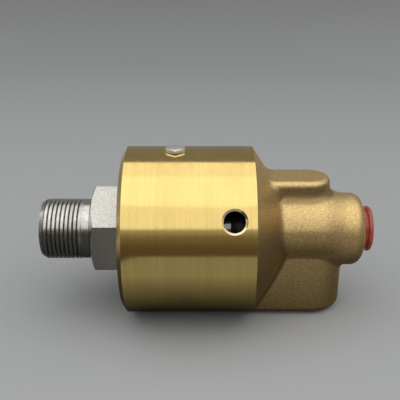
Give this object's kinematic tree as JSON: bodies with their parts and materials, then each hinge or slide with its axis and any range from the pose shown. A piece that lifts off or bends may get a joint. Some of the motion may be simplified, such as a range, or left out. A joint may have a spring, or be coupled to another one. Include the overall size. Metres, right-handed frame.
{
  "type": "hydraulic rotary union",
  "caption": "Turning joint for a fluid line: a male-threaded steel rotor on ball bearings in a brass housing with a carbon face seal and two female ports.",
  "frame": {"origin": "on the rotor's axis, in the hexagon's shoulder face where the male thread begins", "axes": "+X along the rotor's axis from the thread into the housing and out of the axial port, +Z towards the grease plug, the radial port opening along -Z"},
  "size_m": [0.1438, 0.073, 0.0746],
  "materials": {
    "cast_brass": "polished on the turned cylinder, as cast elsewhere",
    "stainless_steel": "turned",
    "plated_steel": "bright plated",
    "spring_steel": "dark, oiled",
    "bearing_steel": "ground",
    "pressed_brass": "machined",
    "brass_spacer": "turned",
    "hard_ceramic": "lapped ceramic",
    "carbon": "lapped carbon graphite",
    "seal_rubber": "moulded nitrile rubber",
    "red_plastic": "moulded soft plastic"
  },
  "bodies": {
    "housing": {"housing": "cast_brass", "grease_plug": "plated_steel", "housing_circlip": "spring_steel", "front_seal": "seal_rubber", "front_bearing_outer_ring": "bearing_steel", "front_bearing_shield": "plated_steel", "outer_spacer": "brass_spacer", "rear_bearing_outer_ring": "bearing_steel", "rear_bearing_shield": "plated_steel", "carrier_oring": "seal_rubber", "spring_seat": "stainless_steel", "anti_rotation_pins": "bearing_steel"},
    "rotor": {"rotor": "stainless_steel", "front_bearing_inner_ring": "bearing_steel", "inner_spacer": "stainless_steel", "rear_bearing_inner_ring": "bearing_steel", "rotor_circlip": "spring_steel", "rotating_seal_ring": "hard_ceramic", "seal_ring_oring": "seal_rubber"},
    "front_cage": {"front_bearing_cage": "pressed_brass", "front_bearing_balls": "bearing_steel"},
    "rear_cage": {"rear_bearing_cage": "pressed_brass", "rear_bearing_balls": "bearing_steel"},
    "floating_seal": {"carbon_seal_ring": "carbon", "seal_carrier": "stainless_steel", "seal_spring": "spring_steel"},
    "port_cap": {"port_cap": "red_plastic"}
  },
  "joints": [
    {"name": "rotor_turn", "type": "hinge", "parent": "housing", "child": "rotor", "pos_m": [0, 0, 0], "axis": [1, 0, 0], "continuous": true},
    {"name": "front_cage_turn", "type": "hinge", "parent": "housing", "child": "front_cage", "pos_m": [0.0263, 0, 0], "axis": [1, 0, 0], "continuous": true},
    {"name": "rear_cage_turn", "type": "hinge", "parent": "housing", "child": "rear_cage", "pos_m": [0.0453, 0, 0], "axis": [1, 0, 0], "continuous": true},
    {"name": "seal_slide", "type": "slide", "parent": "housing", "child": "floating_seal", "axis": [1, 0, 0], "range_m": [0, 0.002], "stiffness_N_per_m": 2000, "springref_m": -0.01, "deforming": ["seal_spring"]},
    {"name": "port_cap_pull", "type": "slide", "parent": "housing", "child": "port_cap", "axis": [1, 0, 0], "range_m": [0, 0.04]}
  ],
  "couplings": [
    {"joint": "front_cage_turn", "follows": "rotor_turn", "ratio": 0.4066},
    {"joint": "rear_cage_turn", "follows": "rotor_turn", "ratio": 0.4066}
  ]
}
